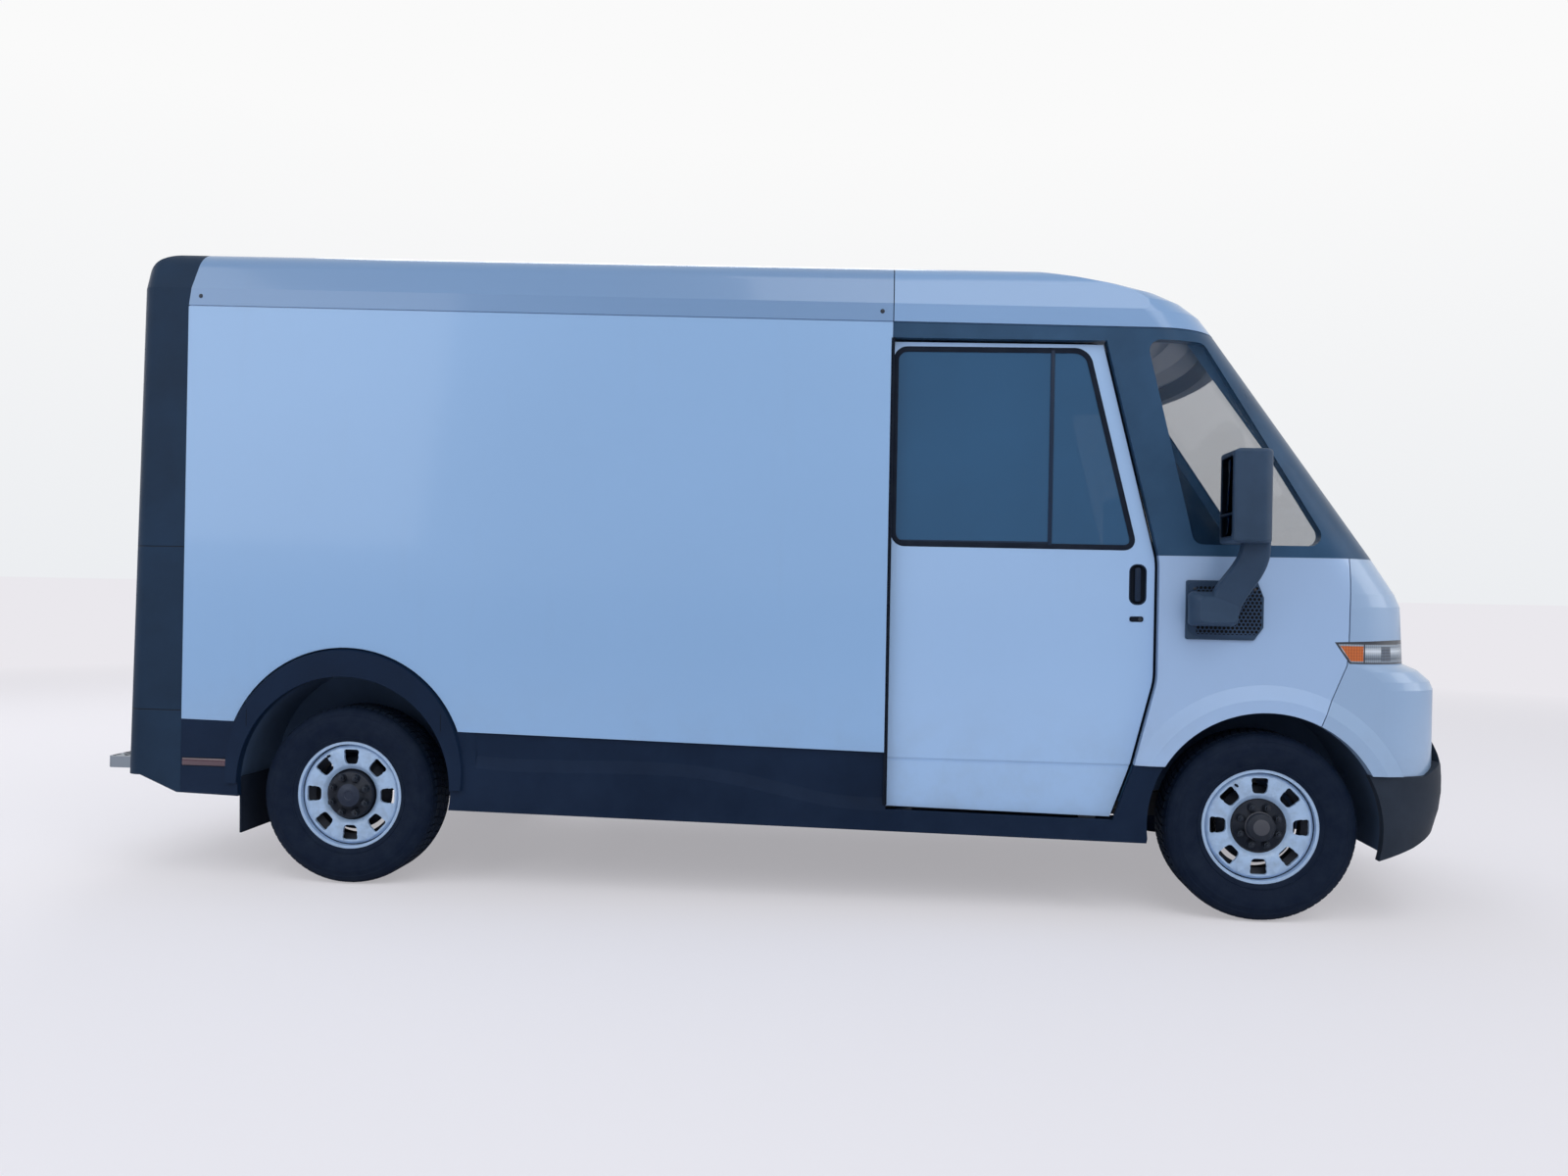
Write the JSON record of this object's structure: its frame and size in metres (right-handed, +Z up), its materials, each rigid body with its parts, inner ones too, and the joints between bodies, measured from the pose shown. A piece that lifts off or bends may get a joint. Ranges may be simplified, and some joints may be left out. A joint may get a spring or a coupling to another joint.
{
  "type": "electric cargo van",
  "caption": "Step-in electric delivery van with a tall panelled load space, sliding cab doors, raked glazed cab, dark lower cladding, tall mirrors and white steel wheels.",
  "frame": {"origin": "on the ground, on the centre line, at mid length", "axes": "+X forward, +Y to the van's left, +Z up"},
  "size_m": [5.9548, 2.7402, 2.7968],
  "materials": {
    "tyre_rubber": "rough",
    "wheel_white": "semi-gloss",
    "glazing": "polished",
    "trim_black": "grained",
    "chassis_black": "satin",
    "battery_case": "satin",
    "step_alloy": "brushed",
    "flap_rubber": "matt",
    "liner_grey": "matt",
    "lamp_clear": "polished",
    "lamp_red": "polished",
    "floor_grey": "matt",
    "seat_fabric": "woven",
    "seat_frame": "satin",
    "wheel_grip": "grained",
    "inner_white": "satin",
    "shutter_white": "satin",
    "paint_white": "gloss"
  },
  "bodies": {
    "van": {"battery_pack": "battery_case", "bulkhead": "inner_white", "cab_frame": "trim_black", "cab_roof": "paint_white", "cargo_roof": "paint_white", "cargo_side_left": "paint_white", "cargo_side_right": "paint_white", "chassis_frame": "chassis_black", "dashboard": "trim_black", "floor": "floor_grey", "front_bumper": "trim_black", "front_fascia": "paint_white", "front_fender_left": "paint_white", "front_fender_right": "paint_white", "front_suspension": "chassis_black", "headlamps": "lamp_clear", "mirror_left": "trim_black", "mirror_right": "trim_black", "mud_flaps": "flap_rubber", "quarter_glass": "glazing", "rear_axle": "chassis_black", "rear_roll_door": "shutter_white", "rear_step": "step_alloy", "rear_surround": "trim_black", "seat_base": "seat_frame", "seat_cushions": "seat_fabric", "sill_cladding_left": "trim_black", "sill_cladding_right": "trim_black", "tail_lamps": "lamp_red", "wheelhouses": "liner_grey", "windscreen": "glazing"},
    "sliding_door_right": {"door_right": "paint_white", "door_right_glass": "glazing"},
    "sliding_door_left": {"door_left": "paint_white", "door_left_glass": "glazing"},
    "inner_door": {"bulkhead_door": "inner_white"},
    "steering_wheel": {"steering_wheel": "wheel_grip"},
    "knuckle_right": {"knuckle_right": "chassis_black"},
    "knuckle_left": {"knuckle_left": "chassis_black"},
    "wheel_front_right": {"tyre_front_right": "tyre_rubber", "wheel_front_right": "wheel_white"},
    "wheel_front_left": {"tyre_front_left": "tyre_rubber", "wheel_front_left": "wheel_white"},
    "wheel_rear_right": {"tyre_rear_right": "tyre_rubber", "wheel_rear_right": "wheel_white"},
    "wheel_rear_left": {"tyre_rear_left": "tyre_rubber", "wheel_rear_left": "wheel_white"}
  },
  "joints": [
    {"name": "steering_wheel_turn", "type": "hinge", "parent": "van", "child": "steering_wheel", "pos_m": [1.8535, 0.43, 1.235], "axis": [-0.848, 0, 0.5299], "range_deg": [-525, 525]},
    {"name": "steer_right", "type": "hinge", "parent": "van", "child": "knuckle_right", "pos_m": [2.0685, -0.84, 0.39], "axis": [0, 0, 1], "range_deg": [-35, 35]},
    {"name": "steer_left", "type": "hinge", "parent": "van", "child": "knuckle_left", "pos_m": [2.0685, 0.84, 0.39], "axis": [0, 0, 1], "range_deg": [-35, 35]},
    {"name": "door_right_slide", "type": "slide", "parent": "van", "child": "sliding_door_right", "axis": [-1, 0, 0], "range_m": [0, 0.95]},
    {"name": "door_left_slide", "type": "slide", "parent": "van", "child": "sliding_door_left", "axis": [-1, 0, 0], "range_m": [0, 0.95]},
    {"name": "inner_door_slide", "type": "slide", "parent": "van", "child": "inner_door", "axis": [0, 1, 0], "range_m": [0, 0.57]},
    {"name": "spin_front_right", "type": "hinge", "parent": "knuckle_right", "child": "wheel_front_right", "pos_m": [2.0685, -0.881, 0.39], "axis": [0, 1, 0], "continuous": true},
    {"name": "spin_front_left", "type": "hinge", "parent": "knuckle_left", "child": "wheel_front_left", "pos_m": [2.0685, 0.881, 0.39], "axis": [0, 1, 0], "continuous": true},
    {"name": "spin_rear_right", "type": "hinge", "parent": "van", "child": "wheel_rear_right", "pos_m": [-1.8175, -0.881, 0.39], "axis": [0, 1, 0], "continuous": true},
    {"name": "spin_rear_left", "type": "hinge", "parent": "van", "child": "wheel_rear_left", "pos_m": [-1.8175, 0.881, 0.39], "axis": [0, 1, 0], "continuous": true}
  ],
  "couplings": [
    {"joint": "steer_right", "follows": "steering_wheel_turn", "ratio": 0.066667},
    {"joint": "steer_left", "follows": "steering_wheel_turn", "ratio": 0.066667}
  ]
}
